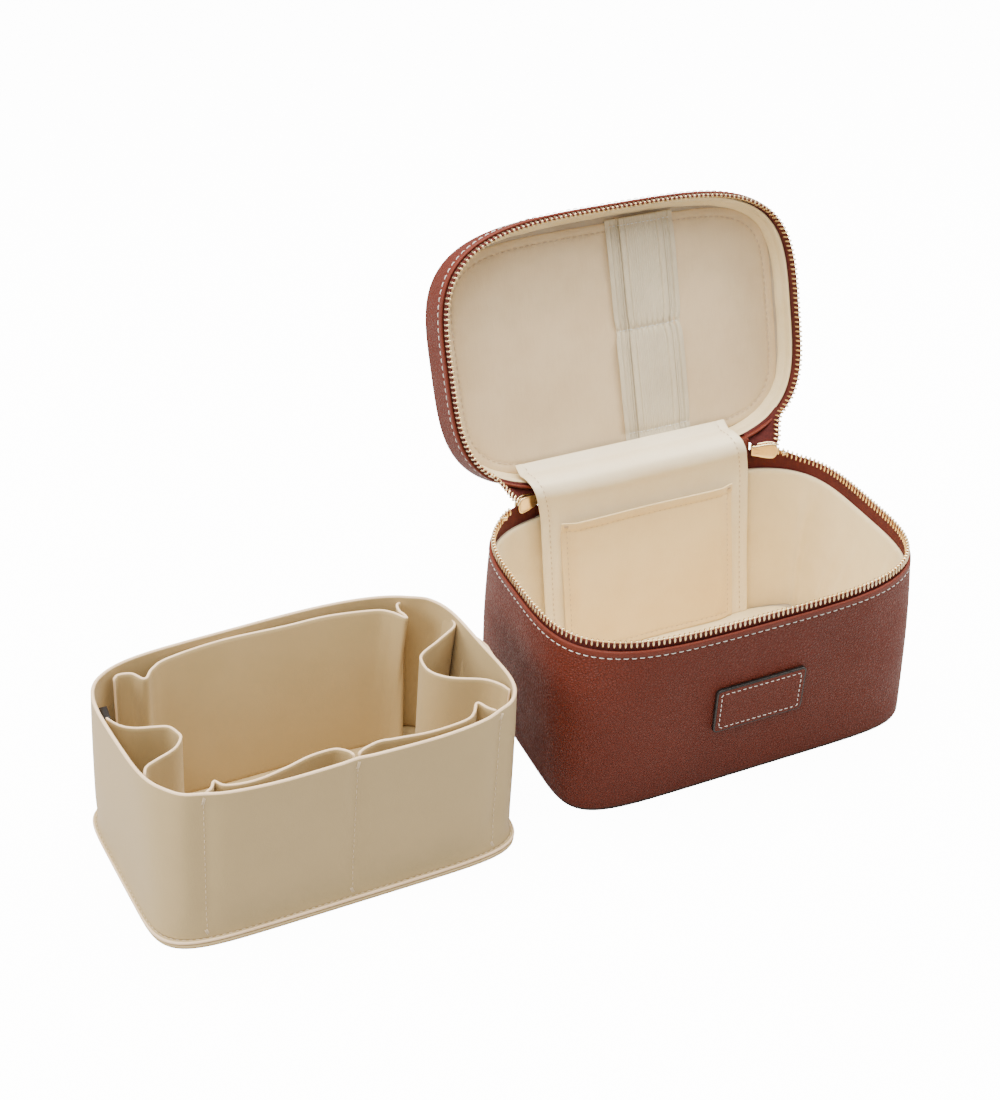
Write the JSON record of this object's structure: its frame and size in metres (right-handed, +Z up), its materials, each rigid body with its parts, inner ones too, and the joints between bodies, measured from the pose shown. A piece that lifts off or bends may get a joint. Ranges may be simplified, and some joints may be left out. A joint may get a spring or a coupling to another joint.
{
  "type": "leather jewellery case",
  "caption": "Zip-round leather jewellery case with a hinged lid, satin lining, elastic straps and a lift-out soft organiser.",
  "frame": {"origin": "centre of the case's underside", "axes": "+X to the case's right, +Y to its back where the lid is hinged, +Z up; the organiser stands on the same floor at -X"},
  "size_m": [0.4515, 0.2185, 0.2584],
  "materials": {
    "leather": "chestnut brown pebbled leather, satin",
    "black_edge": "near-black painted leather edge",
    "board": "stiffening board, matt",
    "satin": "cream satin lining",
    "panel_fabric": "pinkish beige plain-weave fabric",
    "foam": "padding",
    "elastic": "ribbed cream elastic",
    "zip_tape": "burgundy twill zip tape",
    "gold_metal": "polished light gold",
    "cream_sheet": "smooth beige imitation leather"
  },
  "bodies": {
    "case": {"body_leather": "leather", "hinge_leather": "leather", "patch_face": "leather", "base_leather": "black_edge", "patch_leather": "black_edge", "base_board": "board", "body_board": "board", "body_lining": "satin", "floor_lining": "satin", "lining_flap": "satin", "flap_pocket": "panel_fabric", "zip_tape_body": "zip_tape", "zip_teeth_body": "gold_metal", "slider_left": "gold_metal", "slider_right": "gold_metal", "zip_stop_left": "gold_metal", "zip_stop_right": "gold_metal"},
    "lid": {"lid_side_leather": "leather", "lid_top_leather": "leather", "lid_board": "board", "lid_foam": "foam", "lid_side_lining": "satin", "lid_panel": "panel_fabric", "strap_wide": "elastic", "strap_narrow": "elastic", "zip_tape_lid": "zip_tape", "zip_teeth_lid": "gold_metal"},
    "pull_left": {"pull_left": "gold_metal"},
    "pull_right": {"pull_right": "gold_metal"},
    "organiser": {"organiser_base": "cream_sheet", "organiser_wall": "cream_sheet", "organiser_back_pocket": "cream_sheet", "organiser_left_loop": "cream_sheet", "organiser_right_loop": "cream_sheet", "organiser_right_slip": "cream_sheet", "organiser_front_pocket_left": "cream_sheet", "organiser_front_pocket_right": "cream_sheet", "organiser_label": "black_edge"}
  },
  "joints": [
    {"name": "lid_hinge", "type": "hinge", "parent": "case", "child": "lid", "pos_m": [0, 0.0715, 0.1165], "axis": [1, 0, 0], "range_deg": [0, 108], "deforming": ["hinge_leather", "lining_flap"]},
    {"name": "pull_left_swing", "type": "hinge", "parent": "case", "child": "pull_left", "pos_m": [-0.07308, 0.07277, 0.105], "axis": [0.9644, 0.2643, 0], "range_deg": [0, 70]},
    {"name": "pull_right_swing", "type": "hinge", "parent": "case", "child": "pull_right", "pos_m": [0.08152, 0.06982, 0.105], "axis": [0.9291, -0.3697, 0], "range_deg": [0, 70]},
    {"name": "organiser_lift", "type": "slide", "parent": "case", "child": "organiser", "axis": [0, 0, 1], "range_m": [0, 0.15]}
  ]
}
